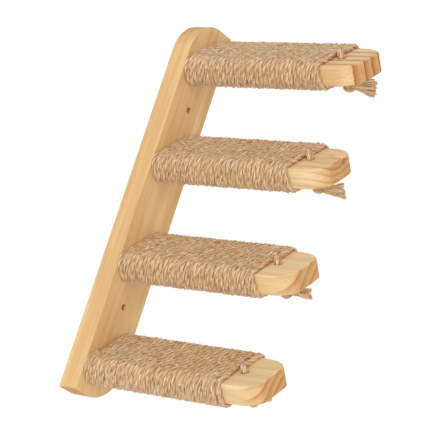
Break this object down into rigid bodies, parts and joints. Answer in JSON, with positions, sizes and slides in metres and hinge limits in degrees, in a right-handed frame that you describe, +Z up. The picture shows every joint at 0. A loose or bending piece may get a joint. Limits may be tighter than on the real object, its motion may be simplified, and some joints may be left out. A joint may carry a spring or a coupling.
{
  "type": "wall mounted cat stair",
  "caption": "Slanted wooden backboard for a wall with level wooden steps standing out of it, each wound with jute rope that ends in a knot under a rounded bare tip.",
  "frame": {"origin": "centre of the backboard's flat back face, which lies on the wall", "axes": "+Z up; +Y out of the back face into the wall, so the steps stand out towards -Y; +X sideways, the way the stair climbs"},
  "size_m": [0.3274, 0.225, 0.2956],
  "materials": {
    "backboard_pine": "sanded pine, matt, unpainted",
    "step_pine": "sanded pine, matt, unpainted",
    "jute_rope": "natural twisted jute, dull",
    "screw_steel": "zinc plated"
  },
  "bodies": {
    "root": {"backboard": "backboard_pine", "step_board_1": "step_pine", "step_board_2": "step_pine", "step_board_3": "step_pine", "step_board_4": "step_pine", "rope_wrap_1": "jute_rope", "rope_wrap_2": "jute_rope", "rope_wrap_3": "jute_rope", "rope_wrap_4": "jute_rope", "rope_knot_1": "jute_rope", "rope_knot_2": "jute_rope", "rope_knot_3": "jute_rope", "rope_knot_4": "jute_rope", "step_screw_1_near": "screw_steel", "step_screw_1_far": "screw_steel", "step_screw_2_near": "screw_steel", "step_screw_2_far": "screw_steel", "step_screw_3_near": "screw_steel", "step_screw_3_far": "screw_steel", "step_screw_4_near": "screw_steel", "step_screw_4_far": "screw_steel"}
  },
  "joints": []
}
